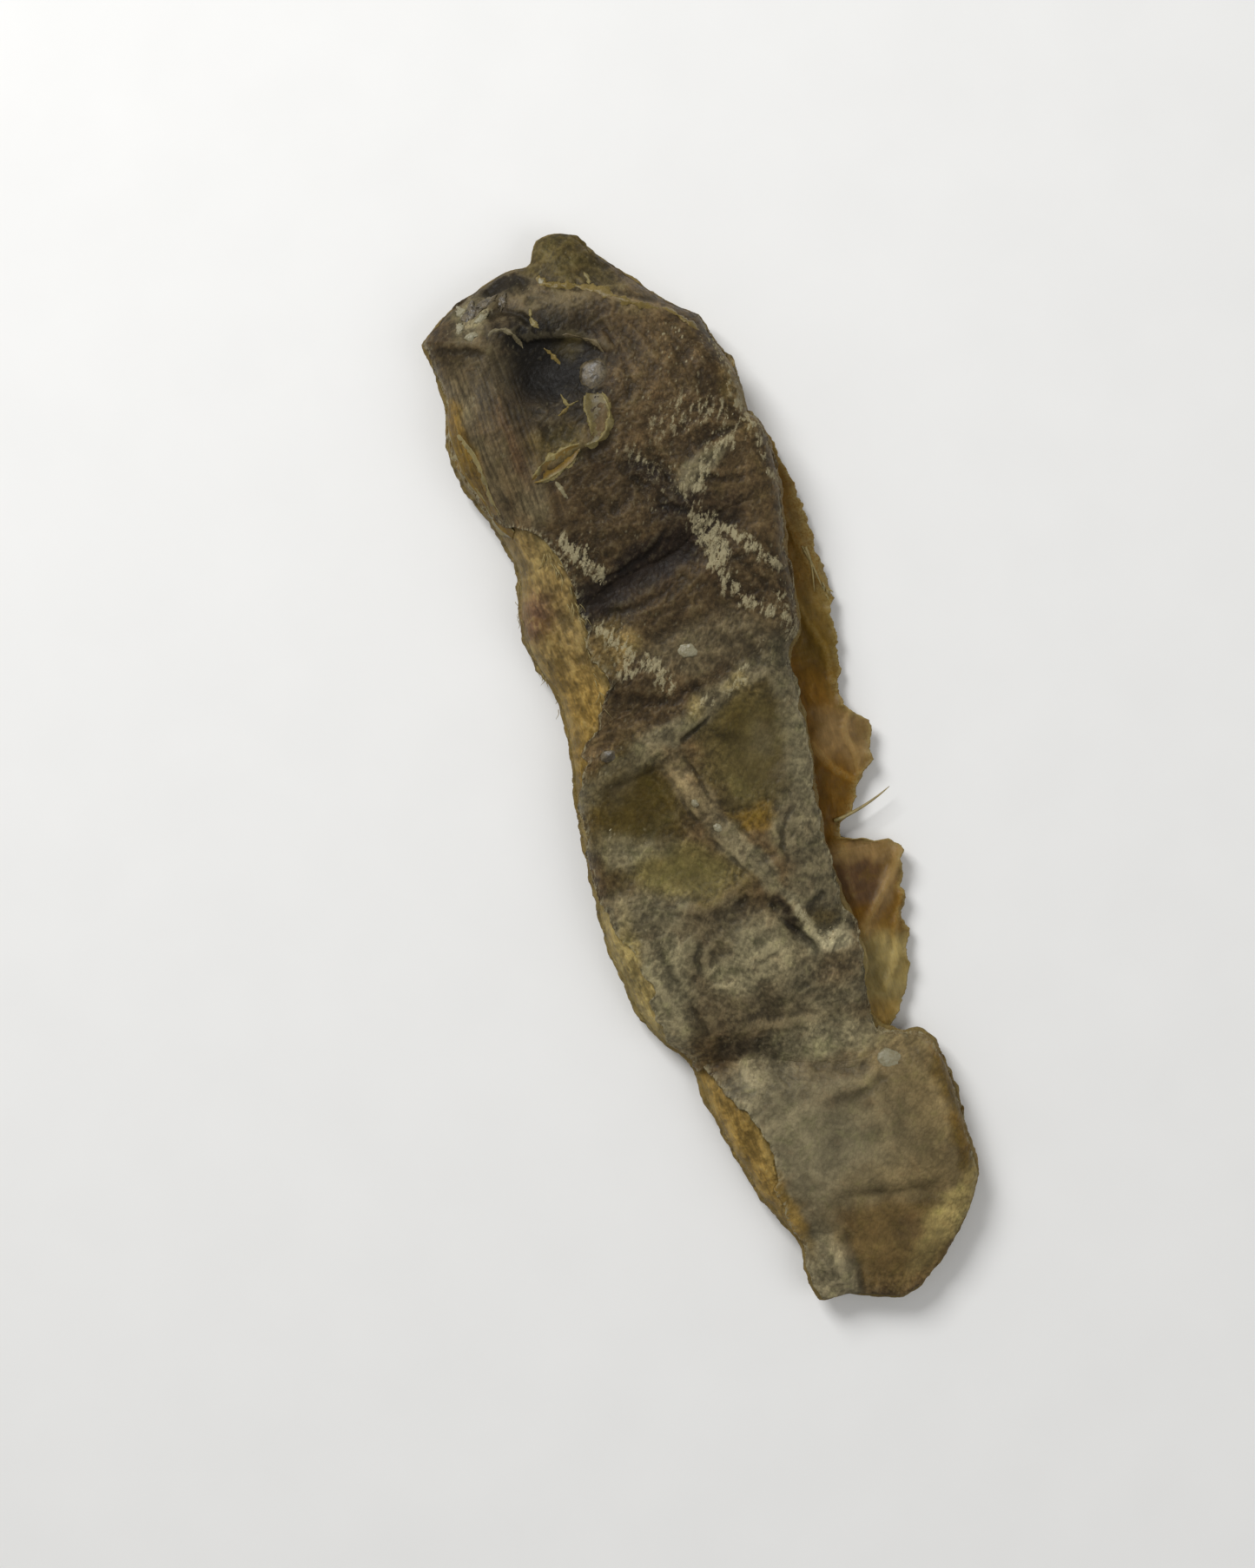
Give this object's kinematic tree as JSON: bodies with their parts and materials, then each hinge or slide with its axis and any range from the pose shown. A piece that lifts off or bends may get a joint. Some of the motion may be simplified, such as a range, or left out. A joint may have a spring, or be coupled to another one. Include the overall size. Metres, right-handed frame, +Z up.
{
  "type": "stockfish piece",
  "caption": "Split piece of air-dried white fish lying skin side up: wrinkled skin over a ragged slab of flesh, thick at the shoulder and flared at the tail.",
  "frame": {"origin": "bottom centre of the whole piece's box, on the surface it lies on", "axes": "+Y along the piece towards its thick shoulder end, +X towards the side with the thin lobed ledge of flesh, +Z up out of the skin side"},
  "size_m": [0.0599, 0.1994, 0.0168],
  "materials": {
    "skin": "dried fish skin, wrinkled and scaly, grey-brown to olive, dull with a leathery gloss on its folds",
    "flesh": "air-dried fibrous flesh, tan to amber, horny and slightly translucent at thin edges"
  },
  "bodies": {
    "root": {"stockfish_piece": "skin"}
  },
  "joints": []
}
